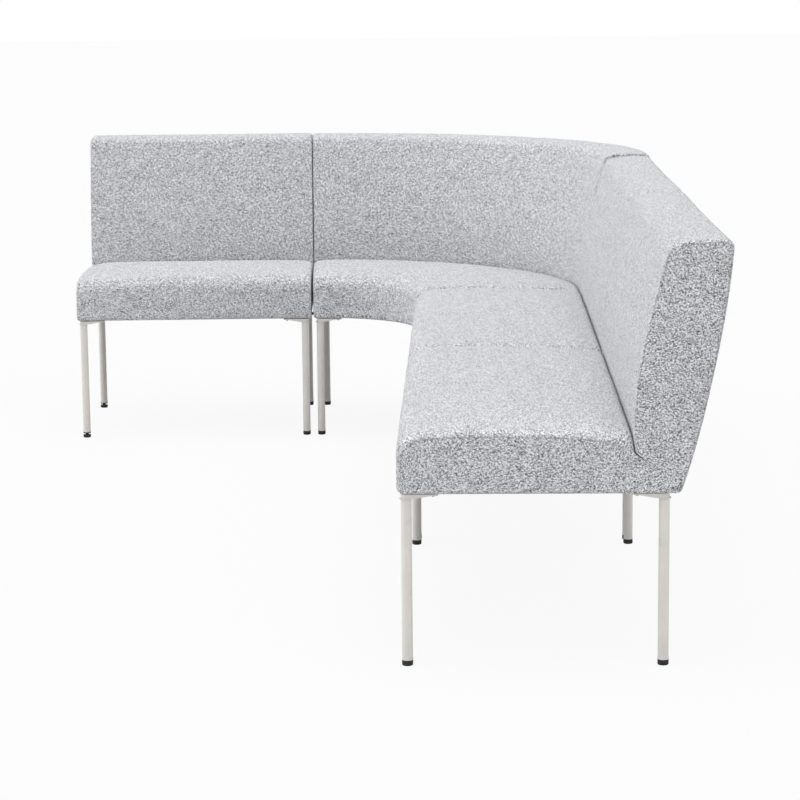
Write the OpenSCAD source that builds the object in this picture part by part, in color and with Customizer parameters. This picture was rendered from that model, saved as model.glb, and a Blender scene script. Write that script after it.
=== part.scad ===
// Modular upholstered banquette: a one-seat bench, a concave quarter-round
// corner bench and two straight benches, joined in an L and standing on
// round steel legs with screw glides.

/* [Layout] */
// Width of the one-seat bench, end to end
single_w = 650; // [560:5:760]
// Length of each of the two straight benches
bench_w = 1020; // [800:5:1200]
// Radius of the concave seat front round the corner
corner_r = 252; // [180:2:400]
// Straight length at each end of the corner bench
corner_straight = 28; // [28:1:60]
// Clear gap between neighbouring benches at their fronts
joint_gap = 6; // [3:0.5:12]
// Angle by which each joint opens towards the back
joint_wedge = 1.2; // [0:0.1:2]

/* [Upholstery] */
// Height of the underside above the floor
under_z = 329; // [300:1:380]
// Height of the seat edge above the underside
seat_rise = 123; // [100:1:140]
// Depth of the seat to the foot of the back
seat_depth = 441; // [400:1:480]
// Crown of the seat above its edges
seat_crown = 6; // [0:0.5:10]
// Height of the back above the underside
back_rise = 471; // [380:1:520]
// Rearward lean of the back over its height
back_lean = 95; // [60:1:120]
// Thickness of the back at its foot
back_foot = 60; // [50:1:75]
// Thickness of the back along its top
back_top = 122; // [90:1:130]
// Swell of the front and rear faces of the back
back_swell = 9; // [0:0.5:12]
// Depth of the sewn seam across the middle of each long seat
seam_depth = 3; // [0:0.5:5]
// Thickness of cover and wadding over the foam
cover_t = 12; // [10:0.5:15]

/* [Frame] */
// Thickness of the seat board
board_t = 18; // [15:1:22]
// Thickness of the back panel
panel_t = 15; // [12:1:18]

/* [Legs] */
// Radius of the leg tube
tube_r = 10; // [8:0.5:12]
// Wall of the leg tube
tube_wall = 1.5; // [1:0.1:2]
// Leg axis behind the seat front
leg_front = 21; // [18:0.5:26]
// Distance from front leg to rear leg
leg_spread = 477; // [440:1:490]
// Leg axis from the end of its bench
leg_end = 17.5; // [16:0.5:30]
// Reach of each bracket arm from the leg axis
arm_reach = 50; // [46:1:60]
// Height of the glide's foot
glide_h = 8; // [6:0.5:12]
// How far the two outer glides of the one-seat bench stand unscrewed
glide_out = 4.5; // [0:0.5:8]

/* [Hidden] */
$fn = 64;

// Colours of the finishes
FABRIC = [0.77, 0.77, 0.79];
FOAM = [0.93, 0.88, 0.70];
PLYWOOD = [0.80, 0.66, 0.46];
DUST = [0.10, 0.10, 0.11];
CREAM = [0.86, 0.85, 0.82];
BLACK = [0.06, 0.06, 0.06];
STEEL = [0.62, 0.63, 0.65];

// Overlap of pieces that are fused, and overrun of cuts
lap = 1;

// Sides of small round holes and screw heads, and of the sweep round the corner
SMALL_FN = 24;
ARC_FN = 96;

// Seam between seat and back, and the sheet under the board
seam_gap = 1;
dust_t = 1;
dust_lap = 6;

// Insets of the board from the skins, and of the back panel from the rear face
board_end = 14;
board_front = 17;
board_rear = 18;
rail = 30;
panel_skin_foot = 14;
panel_skin_head = 20;
panel_skin_top = 26;

// Leg bracket, collar, insert, stud and screws
bracket_t = 3;
bracket_drop = 10;
bracket_r = 10;
cone_r = 62;
weld_w = 3;
collar_r = tube_r + 0.6;
collar_h = 3.5;
flange_h = 3;
insert_h = 28;
insert_fit = 0.05;
glide_r = tube_r + 0.5;
glide_edge = 2.5;
stud_r = 4;
stud_fit = 0.06;
stud_h = 28;
screw_r = 2;
screw_h = 14;
hole_r = 2.2;
screw_lap = 0.5;
head_r = 4.5;
head_h = 3.2;

// Link plates across the joints
link_w = 140;
link_d = 36;
link_t = 3;
link_u = [130, 400];
link_screw_v = [42, 58];

seat_z = under_z + seat_rise;
back_z = under_z + back_rise;
top_z = under_z - dust_t;

// Hidden seam where the seat's rear edge rolls over and slopes down under the
// foot of the back
slope_in = 2;
slope_run = 27;
slope_low = 55;
slope_high = 79;
roll_in = 9;
seat_foot = seat_depth + slope_run;
back_in = seat_foot + seam_gap;
back_out = back_in + back_foot;
back_depth = back_out + back_lean;

// Plane vector helpers
function unit(v) = v / norm(v);
function left_of(v) = [-v[1], v[0]];
function cross2(a, b) = a[0] * b[1] - a[1] * b[0];
function turned(v, a) = [v[0] * cos(a) - v[1] * sin(a), v[0] * sin(a) + v[1] * cos(a)];

// How far an edge is drawn in at a distance t from the end, as a share:
// a quarter ellipse that dies out at the given reach.
function draw_in(t, reach) = t >= reach ? 0 : 1 - sqrt(1 - pow(1 - t / reach, 2));

// Fall of the back's top towards the front, and the nose at its foot
top_fall = 21;
nose_out = 11;
nose_up = 6;

// A corner is [depth, height, radius, arc steps]. The edge that leaves it is
// [end draw, end reach, swell, steps, seam share].
SEAT = [
    [3, under_z, 12, 3],
    [seat_foot, under_z, 0, 0],
    [seat_foot, under_z + slope_low, 0, 0],
    [seat_depth + slope_in, under_z + slope_high, 0, 0],
    [seat_depth - roll_in, seat_z - 2, 14, 3],
    [3, seat_z, 44, 4]
];
SEAT_EDGES = [
    [24, 14, 0, 1, 0],
    [0, 1, 0, 1, 0],
    [0, 1, 0, 1, 0],
    [2, 16, 0, 1, 0],
    [11, 18, seat_crown, 4, 1],
    [9, 14, 3, 2, 0.6]
];
BACK = [
    [back_in, under_z, 0, 0],
    [back_out, under_z, 12, 3],
    [back_depth, back_z, 16, 4],
    [back_depth - back_top, back_z - top_fall, 28, 4],
    [seat_depth - nose_out, seat_z + nose_up, 40, 3],
    [seat_depth + slope_in + seam_gap, under_z + slope_high + seam_gap / 2, 0, 0],
    [back_in, under_z + slope_low + seam_gap / 2, 0, 0]
];
BACK_EDGES = [
    [24, 14, 0, 1, 0],
    [9, 14, back_swell, 3, 0],
    [22, 30, 2, 2, 0],
    [9, 14, back_swell, 4, 0],
    [3, 14, 0, 1, 0],
    [0, 1, 0, 1, 0],
    [0, 1, 0, 1, 0]
];

// Distances of stations from an end, shares of the length between the ends,
// and half the width of the dip at a sewn seam
END_T = [0, 1.5, 5, 10, 14, 30];
MID_SHARES = [0.3, 0.7];
seam_half = 9;

// The swell of a face grows from its share at the end to its whole at full_t,
// and nothing is drawn in as far from the end as inner_t
end_full = 0.4;
full_t = 30;
inner_t = 100;
function fullness(t) = end_full + (1 - end_full) * min(1, t / full_t);

// Corner i with its two edges moved inwards, each by its own draw
function moved(c, e, i, t, seam) =
    let (n = len(c), j = (i + n - 1) % n, k = (i + 1) % n,
         p = [c[i][0], c[i][1]],
         a = unit(p - [c[j][0], c[j][1]]),
         b = unit([c[k][0], c[k][1]] - p),
         in_a = e[j][0] * draw_in(t, e[j][1]) + e[j][4] * seam,
         in_b = e[i][0] * draw_in(t, e[i][1]) + e[i][4] * seam,
         qa = p + left_of(a) * in_a,
         qb = p + left_of(b) * in_b)
    qa + a * cross2(qb - qa, b) / cross2(a, b);

// Tangent length of a corner's round
function tangent(p, q, r, radius) =
    let (a = unit(q - p), b = unit(r - q))
    radius * tan(abs(atan2(cross2(a, b), a * b)) / 2);

// Closed outline of a section: rounded corners joined by swelling edges
function outline(c, e, t, full, seam) =
    let (n = len(c), m = [for (i = [0:n - 1]) moved(c, e, i, t, seam)])
    [for (i = [0:n - 1])
        let (p = m[(i + n - 1) % n], q = m[i], r = m[(i + 1) % n], s = m[(i + 2) % n],
             a = unit(q - p), b = unit(r - q),
             turn = atan2(cross2(a, b), a * b),
             hand = turn < 0 ? -1 : 1,
             radius = c[i][2], steps = c[i][3],
             cut = tangent(p, q, r, radius),
             hub = q - a * cut + left_of(a) * hand * radius,
             begin = q + b * cut,
             last = r - b * tangent(q, r, s, c[(i + 1) % n][2]),
             parts = e[i][3])
        each concat(
            [for (k = [0:steps])
                steps == 0 ? q : hub + turned(left_of(a) * -hand * radius, turn * k / steps)],
            [for (k = [1:1:parts - 1])
                begin + (last - begin) * k / parts
                - left_of(b) * e[i][2] * full * (1 - pow(2 * k / parts - 1, 2))])];

// A station is [origin, direction of depth, distance to the end, fullness, seam].
function straight_station(x, t, seam) = [[x, 0], [0, 1], t, fullness(t), seam];
function straight_stations(w, seam) = concat(
    [for (t = END_T) straight_station(t, t, 0)],
    [straight_station(w * MID_SHARES[0], inner_t, 0)],
    seam > 0 ? [for (side = [-1:1])
        straight_station(w / 2 + side * seam_half, inner_t, side == 0 ? seam : 0)] : [],
    [straight_station(w * MID_SHARES[1], inner_t, 0)],
    [for (i = [len(END_T) - 1:-1:0]) straight_station(w - END_T[i], END_T[i], 0)]);

ARC_STEPS = 12;
function corner_stations() = concat(
    [for (t = END_T) if (t < corner_straight)
        [[t - corner_straight, corner_r], [0, 1], t, fullness(t), 0]],
    [for (k = [0:ARC_STEPS])
        let (a = 90 - 90 * k / ARC_STEPS, d = [cos(a), sin(a)])
        [corner_r * d, d, inner_t, 1, 0]],
    [for (i = [len(END_T) - 1:-1:0])
        let (t = END_T[i]) if (t < corner_straight)
        [[corner_r, t - corner_straight], [1, 0], t, fullness(t), 0]]);

// Skin drawn over a row of stations, closed by a flat panel at each end
module upholstered(stations, c, e) {
    rings = [for (s = stations) outline(c, e, s[2], s[3], s[4])];
    n = len(rings[0]);
    m = len(rings);
    points = [for (j = [0:m - 1]) for (p = rings[j])
        let (o = stations[j][0] + stations[j][1] * p[0]) [o[0], o[1], p[1]]];
    sides = [for (j = [0:m - 2]) for (i = [0:n - 1])
        let (k = (i + 1) % n, here = j * n, next = here + n)
        each [[here + i, next + i, next + k], [here + i, next + k, here + k]]];
    first_end = [for (i = [0:n - 1]) i];
    second_end = [for (i = [n - 1:-1:0]) (m - 1) * n + i];
    polyhedron(points, concat([first_end], sides, [second_end]));
}

// Sections of the inner pieces: an even inset of a skin's outline
function slimmed(c, d) = [for (p = c) [p[0], p[1], max(0, p[2] - d), p[2] > d ? p[3] : 0]];
function even(e) = [for (x = e) [0, 1, 0, 1, 1]];
function inner_outline(c, e, d) = outline(slimmed(c, d), even(e), inner_t, 0, d);

board_d = back_out - board_rear - board_front;
board_top = under_z + board_t;
panel_foot = back_out - panel_skin_foot;
panel_head = back_depth - panel_skin_head;
panel_top = back_z - panel_skin_top;
panel_slope = (panel_head - panel_foot) / (panel_top - board_top);

module board_section() {
    translate([board_front, under_z])
        square([board_d, board_t]);
}

module dust_section() {
    translate([board_front + dust_lap, top_z])
        square([board_d - 2 * dust_lap, dust_t]);
}

module seat_core_section() {
    intersection() {
        polygon(inner_outline(SEAT, SEAT_EDGES, cover_t));
        translate([0, board_top])
            square([back_depth, seat_rise]);
    }
}

// The back panel leans with the rear face and stands, with its foot rail, on the board
module panel_section() {
    polygon([
        [panel_foot - panel_t - rail, board_top], [panel_foot, board_top],
        [panel_head, panel_top], [panel_head - panel_t, panel_top],
        [panel_foot - panel_t + rail * panel_slope, board_top + rail],
        [panel_foot - panel_t - rail, board_top + rail]
    ]);
}

// The foam's space, which runs on into the panel
module back_core_space() {
    intersection() {
        polygon(inner_outline(BACK, BACK_EDGES, cover_t));
        polygon([
            [0, board_top + rail], [0, back_z], [panel_head - panel_t, back_z],
            [panel_head - panel_t, panel_top], [panel_foot, board_top]
        ]);
    }
}

module back_core_section() {
    difference() {
        back_core_space();
        panel_section();
    }
}

// What each skin leaves open for the pieces inside it
module seat_hollow_section() {
    board_section();
    seat_core_section();
}

module back_hollow_section() {
    board_section();
    panel_section();
    back_core_space();
}

// A section carried along a straight bench, from one end inset to the other
module along_straight(w, inset) {
    translate([inset, 0, 0])
        rotate([90, 0, 90])
            linear_extrude(w - 2 * inset)
                children();
}

// A section carried round the corner bench
module along_corner(inset) {
    rotate_extrude(angle = 90, $fn = ARC_FN)
        translate([corner_r, 0])
            children();
    translate([inset - corner_straight, corner_r, 0])
        rotate([90, 0, 90])
            linear_extrude(corner_straight - inset)
                children();
    translate([corner_r, 0, 0])
        rotate([90, 0, 0])
            linear_extrude(corner_straight - inset)
                children();
}

// Where the benches stand: the corner's arc centre is the layout's centre
far_depth = max([for (p = outline(BACK, BACK_EDGES, inner_t, 1, 0)) p[0]]);
run_l = 2 * bench_w + joint_gap;
x_low = -corner_straight - joint_gap - single_w * cos(joint_wedge) - far_depth * sin(joint_wedge);
x_high = corner_r + far_depth;
y_low = -corner_straight - joint_gap - run_l * cos(joint_wedge) - far_depth * sin(joint_wedge);
y_high = corner_r + far_depth;

module centred() {
    translate([-(x_low + x_high) / 2, -(y_low + y_high) / 2, 0])
        children();
}

module place_single() {
    translate([-corner_straight - joint_gap, corner_r, 0])
        rotate(joint_wedge)
            translate([-single_w, 0, 0])
                children();
}

module place_far() {
    translate([corner_r, -corner_straight - joint_gap, 0])
        rotate(-90 - joint_wedge)
            children();
}

module place_near() {
    place_far()
        translate([bench_w + joint_gap, 0, 0])
            children();
}

// The three joints, each seen from the middle of its gap with depth along +Y
module at_joints() {
    translate([-corner_straight - joint_gap / 2, corner_r, 0])
        rotate(joint_wedge / 2)
            children();
    translate([corner_r, -corner_straight - joint_gap / 2, 0])
        rotate(-90 - joint_wedge / 2)
            children();
    place_far()
        translate([bench_w + joint_gap / 2, 0, 0])
            children();
}

// Leg spots: [along, depth, turn that points the bracket arms inboard]
leg_rear = leg_front + leg_spread;
corner_end = leg_end - corner_straight;
function straight_legs(w) = [
    [leg_end, leg_front, 0], [w - leg_end, leg_front, 90],
    [leg_end, leg_rear, -90], [w - leg_end, leg_rear, 180]
];
CORNER_LEGS = [
    [corner_end, corner_r + leg_front, 0], [corner_r + leg_front, corner_end, 0],
    [corner_end, corner_r + leg_rear, -90], [corner_r + leg_rear, corner_end, 90],
    [(corner_r + leg_rear) * cos(45), (corner_r + leg_rear) * sin(45), 180]
];
SINGLE_LEGS = straight_legs(single_w);
BENCH_LEGS = straight_legs(bench_w);

module at_spots(spots) {
    for (s = spots)
        translate([s[0], s[1], 0])
            rotate(s[2])
                children();
}

module arm_spots() {
    for (a = [0, 90])
        rotate(a)
            translate([arm_reach, 0, 0])
                children();
}

module link_spots() {
    for (u = link_u)
        for (v = link_screw_v)
            for (side = [-1, 1])
                translate([side * v, u, 0])
                    children();
}

module screw_bore(z) {
    translate([0, 0, z])
        cylinder(r = hole_r, h = board_top - z + lap, $fn = SMALL_FN);
}

// Rounded triangular flange at the head of a leg
module flange_outline() {
    d = bracket_r / sqrt(2);
    polygon([
        [0, -bracket_r], [arm_reach, -bracket_r], [arm_reach + d, d],
        [d, arm_reach + d], [-bracket_r, arm_reach], [-bracket_r, 0]
    ]);
    circle(bracket_r);
    translate([arm_reach, 0])
        circle(bracket_r);
    translate([0, arm_reach])
        circle(bracket_r);
}

module plate_hole(z, t) {
    translate([0, 0, z - lap])
        cylinder(r = hole_r, h = t + 2 * lap, $fn = SMALL_FN);
}

// Leg tube with its collar, and the bracket that tapers into it
module leg(out) {
    foot = glide_h + out + flange_h;
    difference() {
        union() {
            translate([0, 0, foot])
                cylinder(r = tube_r, h = top_z - foot - lap);
            translate([0, 0, foot])
                cylinder(r = collar_r, h = collar_h);
            translate([0, 0, top_z - bracket_t])
                linear_extrude(bracket_t)
                    flange_outline();
            intersection() {
                translate([0, 0, top_z - bracket_drop])
                    linear_extrude(bracket_drop - lap)
                        flange_outline();
                translate([0, 0, top_z - bracket_drop])
                    cylinder(r1 = tube_r, r2 = cone_r, h = bracket_drop);
            }
            translate([0, 0, top_z - bracket_drop - weld_w / 2])
                cylinder(r1 = tube_r, r2 = tube_r + weld_w, h = weld_w);
        }
        translate([0, 0, foot - lap])
            cylinder(r = tube_r - tube_wall, h = top_z - bracket_drop - foot + lap);
        arm_spots()
            plate_hole(top_z - bracket_t, bracket_t);
    }
}

module leg_insert(out) {
    foot = glide_h + out;
    translate([0, 0, foot])
        difference() {
            union() {
                cylinder(r = glide_r, h = flange_h);
                cylinder(r = tube_r - tube_wall - insert_fit, h = insert_h);
            }
            translate([0, 0, -lap])
                cylinder(r = stud_r + stud_fit, h = insert_h + 2 * lap);
        }
}

// Screw with a domed head under the face at height z
module screw(z) {
    dome_r = (head_r * head_r + head_h * head_h) / (2 * head_h);
    intersection() {
        translate([0, 0, z - head_h + dome_r])
            sphere(dome_r, $fn = SMALL_FN);
        translate([0, 0, z - head_h])
            cylinder(r = head_r, h = head_h, $fn = SMALL_FN);
    }
    translate([0, 0, z - screw_lap])
        cylinder(r = screw_r, h = screw_h, $fn = SMALL_FN);
}

// Glide: a foot with a rounded lower edge and its threaded stud
module glide() {
    color(BLACK)
        union() {
            rotate_extrude() {
                polygon([
                    [0, 0], [glide_r - glide_edge, 0], [glide_r - glide_edge, glide_edge],
                    [glide_r, glide_edge], [glide_r, glide_h], [0, glide_h]
                ]);
                intersection() {
                    translate([glide_r - glide_edge, glide_edge])
                        circle(glide_edge);
                    square([glide_r, glide_h]);
                }
            }
            translate([0, 0, glide_h - lap])
                cylinder(r = stud_r, h = stud_h + lap);
        }
}

// Outer glides of the one-seat bench stand unscrewed at its left end
function out_of(spots, i, outer) = outer && (i == 0 || i == 2) ? glide_out : 0;

module leg_set(spots, outer) {
    color(CREAM)
        for (i = [0:len(spots) - 1])
            at_spots([spots[i]])
                leg(out_of(spots, i, outer));
}

module insert_set(spots, outer) {
    color(BLACK)
        for (i = [0:len(spots) - 1])
            at_spots([spots[i]])
                leg_insert(out_of(spots, i, outer));
}

module leg_screw_set(spots) {
    color(STEEL)
        at_spots(spots)
            arm_spots()
                screw(top_z - bracket_t);
}

module one_glide(spots, i) {
    at_spots([spots[i]])
        glide();
}

// Soft skins: a shell of cover and wadding round the board, foam and panel
module straight_seat_cover(w, seam) {
    color(FABRIC)
        difference() {
            upholstered(straight_stations(w, seam), SEAT, SEAT_EDGES);
            along_straight(w, board_end)
                seat_hollow_section();
        }
}

module straight_back_cover(w) {
    color(FABRIC)
        difference() {
            upholstered(straight_stations(w, 0), BACK, BACK_EDGES);
            along_straight(w, board_end)
                back_hollow_section();
        }
}

module corner_seat_skin() {
    color(FABRIC)
        difference() {
            upholstered(corner_stations(), SEAT, SEAT_EDGES);
            along_corner(board_end)
                seat_hollow_section();
        }
}

module corner_back_skin() {
    color(FABRIC)
        difference() {
            upholstered(corner_stations(), BACK, BACK_EDGES);
            along_corner(board_end)
                back_hollow_section();
        }
}

module link_bores(z) {
    at_joints()
        link_spots()
            screw_bore(z);
}

module leg_bores(spots, z) {
    at_spots(spots)
        arm_spots()
            screw_bore(z);
}

module straight_foam(w) {
    color(FOAM)
        along_straight(w, board_end)
            children();
}

module corner_foam() {
    color(FOAM)
        along_corner(board_end)
            children();
}

module straight_board(w, spots) {
    difference() {
        along_straight(w, board_end)
            board_section();
        leg_bores(spots, top_z);
    }
}

module straight_dust(w, spots) {
    difference() {
        along_straight(w, board_end + dust_lap)
            dust_section();
        leg_bores(spots, top_z - lap);
    }
}

module straight_back_frame(w) {
    color(PLYWOOD)
        along_straight(w, board_end)
            panel_section();
}

module bored(finish, z) {
    color(finish)
        centred()
            difference() {
                children();
                link_bores(z);
            }
}

// One module per sub-part
module single_seat_cover() { centred() place_single() straight_seat_cover(single_w, 0); }
module corner_seat_cover() { centred() corner_seat_skin(); }
module far_seat_cover() { centred() place_far() straight_seat_cover(bench_w, seam_depth); }
module near_seat_cover() { centred() place_near() straight_seat_cover(bench_w, seam_depth); }

module single_back_cover() { centred() place_single() straight_back_cover(single_w); }
module corner_back_cover() { centred() corner_back_skin(); }
module far_back_cover() { centred() place_far() straight_back_cover(bench_w); }
module near_back_cover() { centred() place_near() straight_back_cover(bench_w); }

module single_seat_foam() { centred() place_single() straight_foam(single_w) seat_core_section(); }
module corner_seat_foam() { centred() corner_foam() seat_core_section(); }
module far_seat_foam() { centred() place_far() straight_foam(bench_w) seat_core_section(); }
module near_seat_foam() { centred() place_near() straight_foam(bench_w) seat_core_section(); }

module single_back_foam() { centred() place_single() straight_foam(single_w) back_core_section(); }
module corner_back_foam() { centred() corner_foam() back_core_section(); }
module far_back_foam() { centred() place_far() straight_foam(bench_w) back_core_section(); }
module near_back_foam() { centred() place_near() straight_foam(bench_w) back_core_section(); }

module single_seat_board() { bored(PLYWOOD, top_z) place_single() straight_board(single_w, SINGLE_LEGS); }
module far_seat_board() { bored(PLYWOOD, top_z) place_far() straight_board(bench_w, BENCH_LEGS); }
module near_seat_board() { bored(PLYWOOD, top_z) place_near() straight_board(bench_w, BENCH_LEGS); }
module corner_seat_board() {
    bored(PLYWOOD, top_z)
        difference() {
            along_corner(board_end)
                board_section();
            leg_bores(CORNER_LEGS, top_z);
        }
}

module single_dust_cover() { bored(DUST, top_z - lap) place_single() straight_dust(single_w, SINGLE_LEGS); }
module far_dust_cover() { bored(DUST, top_z - lap) place_far() straight_dust(bench_w, BENCH_LEGS); }
module near_dust_cover() { bored(DUST, top_z - lap) place_near() straight_dust(bench_w, BENCH_LEGS); }
module corner_dust_cover() {
    bored(DUST, top_z - lap)
        difference() {
            along_corner(board_end + dust_lap)
                dust_section();
            leg_bores(CORNER_LEGS, top_z - lap);
        }
}

module single_back_frame() { centred() place_single() straight_back_frame(single_w); }
module corner_back_frame() { color(PLYWOOD) centred() along_corner(board_end) panel_section(); }
module far_back_frame() { centred() place_far() straight_back_frame(bench_w); }
module near_back_frame() { centred() place_near() straight_back_frame(bench_w); }

module single_legs() { centred() place_single() leg_set(SINGLE_LEGS, true); }
module corner_legs() { centred() leg_set(CORNER_LEGS, false); }
module far_legs() { centred() place_far() leg_set(BENCH_LEGS, false); }
module near_legs() { centred() place_near() leg_set(BENCH_LEGS, false); }

module single_leg_inserts() { centred() place_single() insert_set(SINGLE_LEGS, true); }
module corner_leg_inserts() { centred() insert_set(CORNER_LEGS, false); }
module far_leg_inserts() { centred() place_far() insert_set(BENCH_LEGS, false); }
module near_leg_inserts() { centred() place_near() insert_set(BENCH_LEGS, false); }

module single_leg_screws() { centred() place_single() leg_screw_set(SINGLE_LEGS); }
module corner_leg_screws() { centred() leg_screw_set(CORNER_LEGS); }
module far_leg_screws() { centred() place_far() leg_screw_set(BENCH_LEGS); }
module near_leg_screws() { centred() place_near() leg_screw_set(BENCH_LEGS); }

module link_plates() {
    color(BLACK)
        centred()
            at_joints()
                for (u = link_u)
                    difference() {
                        translate([-link_w / 2, u - link_d / 2, top_z - link_t])
                            cube([link_w, link_d, link_t]);
                        for (v = link_screw_v)
                            for (side = [-1, 1])
                                translate([side * v, u, 0])
                                    plate_hole(top_z - link_t, link_t);
                    }
}

module link_screws() {
    color(STEEL)
        centred()
            at_joints()
                link_spots()
                    screw(top_z - link_t);
}

module single_glide_front_left() { centred() place_single() one_glide(SINGLE_LEGS, 0); }
module single_glide_front_right() { centred() place_single() one_glide(SINGLE_LEGS, 1); }
module single_glide_rear_left() { centred() place_single() one_glide(SINGLE_LEGS, 2); }
module single_glide_rear_right() { centred() place_single() one_glide(SINGLE_LEGS, 3); }
module corner_glide_front_left() { centred() one_glide(CORNER_LEGS, 0); }
module corner_glide_front_right() { centred() one_glide(CORNER_LEGS, 1); }
module corner_glide_rear_left() { centred() one_glide(CORNER_LEGS, 2); }
module corner_glide_rear_right() { centred() one_glide(CORNER_LEGS, 3); }
module corner_glide_rear_middle() { centred() one_glide(CORNER_LEGS, 4); }
module far_glide_front_left() { centred() place_far() one_glide(BENCH_LEGS, 0); }
module far_glide_front_right() { centred() place_far() one_glide(BENCH_LEGS, 1); }
module far_glide_rear_left() { centred() place_far() one_glide(BENCH_LEGS, 2); }
module far_glide_rear_right() { centred() place_far() one_glide(BENCH_LEGS, 3); }
module near_glide_front_left() { centred() place_near() one_glide(BENCH_LEGS, 0); }
module near_glide_front_right() { centred() place_near() one_glide(BENCH_LEGS, 1); }
module near_glide_rear_left() { centred() place_near() one_glide(BENCH_LEGS, 2); }
module near_glide_rear_right() { centred() place_near() one_glide(BENCH_LEGS, 3); }

// What each name draws
single_seat_cover();
corner_seat_cover();
far_seat_cover();
near_seat_cover();
single_back_cover();
corner_back_cover();
far_back_cover();
near_back_cover();
single_seat_foam();
corner_seat_foam();
far_seat_foam();
near_seat_foam();
single_back_foam();
corner_back_foam();
far_back_foam();
near_back_foam();
single_seat_board();
corner_seat_board();
far_seat_board();
near_seat_board();
single_back_frame();
corner_back_frame();
far_back_frame();
near_back_frame();
single_dust_cover();
corner_dust_cover();
far_dust_cover();
near_dust_cover();
single_legs();
corner_legs();
far_legs();
near_legs();
single_leg_inserts();
corner_leg_inserts();
far_leg_inserts();
near_leg_inserts();
single_leg_screws();
corner_leg_screws();
far_leg_screws();
near_leg_screws();
single_glide_front_left();
single_glide_front_right();
single_glide_rear_left();
single_glide_rear_right();
corner_glide_front_left();
corner_glide_front_right();
corner_glide_rear_left();
corner_glide_rear_right();
corner_glide_rear_middle();
far_glide_front_left();
far_glide_front_right();
far_glide_rear_left();
far_glide_rear_right();
near_glide_front_left();
near_glide_front_right();
near_glide_rear_left();
near_glide_rear_right();
link_plates();
link_screws();
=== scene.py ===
"""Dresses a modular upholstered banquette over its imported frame: a one-seat
bench, a concave corner bench and two straight benches on steel legs.
Lengths are in metres, in the frame's own axes."""

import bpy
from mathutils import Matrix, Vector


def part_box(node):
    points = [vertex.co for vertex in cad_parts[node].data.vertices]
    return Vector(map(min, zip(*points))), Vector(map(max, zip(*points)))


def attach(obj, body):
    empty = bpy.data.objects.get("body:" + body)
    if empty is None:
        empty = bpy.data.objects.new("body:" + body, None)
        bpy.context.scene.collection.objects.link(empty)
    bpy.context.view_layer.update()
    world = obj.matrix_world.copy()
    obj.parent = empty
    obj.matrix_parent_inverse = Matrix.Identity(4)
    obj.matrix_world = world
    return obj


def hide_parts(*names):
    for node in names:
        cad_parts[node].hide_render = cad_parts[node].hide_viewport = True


bl_info = {
    "name": "Upholstered Banquette",
    "version": (1, 0, 0),
    "blender": (4, 5, 0),
    "location": "3D View > Sidebar > Banquette",
    "description": "Covers, foam, boards, legs, glides and stage of a modular banquette",
    "category": "Object",
}

import math

import bpy
import numpy as np
from bpy.props import FloatProperty, FloatVectorProperty, IntProperty, PointerProperty
from mathutils import Matrix, Vector

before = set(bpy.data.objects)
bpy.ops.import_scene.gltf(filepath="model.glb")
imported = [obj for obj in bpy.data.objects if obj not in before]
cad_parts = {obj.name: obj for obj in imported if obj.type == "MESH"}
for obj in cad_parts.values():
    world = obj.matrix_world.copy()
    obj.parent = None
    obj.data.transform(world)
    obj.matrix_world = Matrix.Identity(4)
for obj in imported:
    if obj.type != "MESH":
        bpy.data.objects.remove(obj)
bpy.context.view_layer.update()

BENCHES = ("single", "corner", "far", "near")
LONG_BENCHES = ("far", "near")
BODY = "benches"

# Where the legs stand in each bench, and the straight ends of the corner bench
LEG_END = 0.0175
LEG_FRONT = 0.021
CORNER_STRAIGHT = 0.028

# The corner's padding leans out towards its neighbours: sideways by depth, and its reach
CORNER_LEAN = 0.029
LEAN_REACH = 0.14

# Height of the boards' underside, which the frame gives, and of the tops above it
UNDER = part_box("near_seat_board")[0].z
SEAT_RISE = 0.123
BACK_RISE = 0.471
SEAT_Z = UNDER + SEAT_RISE
BACK_Z = UNDER + BACK_RISE

# Section corners: depth behind the seat front, height, radius
SEAT_CORNERS = np.array([
    [0.003, UNDER, 0.012],
    [0.4684, UNDER, 0.0],
    [0.4684, UNDER + 0.055, 0.0],
    [0.4414, UNDER + 0.0797, 0.0],
    [0.4385, SEAT_Z - 0.008, 0.016],
    [0.003, SEAT_Z - 0.001, 0.040],
])
BACK_CORNERS = np.array([
    [0.4687, UNDER, 0.0],
    [0.529, UNDER, 0.012],
    [0.624, BACK_Z, 0.016],
    [0.502, BACK_Z - 0.021, 0.019],
    [0.4387, SEAT_Z + 0.004, 0.045],
    [0.4416, UNDER + 0.0800, 0.0],
    [0.4687, UNDER + 0.0554, 0.0],
])


def edge(draw=0.0, reach=0.001, swell=0.0, seam=0.0, fullest=0.5, before=2.4, after=2.4):
    """How the edge that leaves a corner is shaped: its draw at an end and the reach of
    that, its shares of the swell and of a sewn seam, where along it the swell is
    fullest, and the powers by which the swell falls before and after that."""
    return draw, reach, swell, seam, fullest, before, after


DRAW, REACH, SWELL, SEAM, FULLEST = range(5)
STILL_EDGE = edge()
SEAT_EDGES = np.array([
    edge(0.006, 0.007),
    STILL_EDGE,
    STILL_EDGE,
    edge(0.002, 0.016),
    edge(0.011, 0.018, swell=1.0, seam=1.0, before=2.2),
    edge(0.009, 0.014, seam=0.6),
])
BACK_EDGES = np.array([
    edge(0.006, 0.007),
    edge(0.003, 0.008, swell=1.2),
    edge(0.007, 0.011, swell=0.30),
    edge(0.003, 0.008, swell=1.0, fullest=0.6, before=2.0, after=2.2),
    edge(0.003, 0.014),
    STILL_EDGE,
    STILL_EDGE,
])
SEAT_TOP, SEAT_FRONT = 4, 5
BACK_REAR, BACK_TOP, BACK_FRONT = 1, 2, 3

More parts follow.
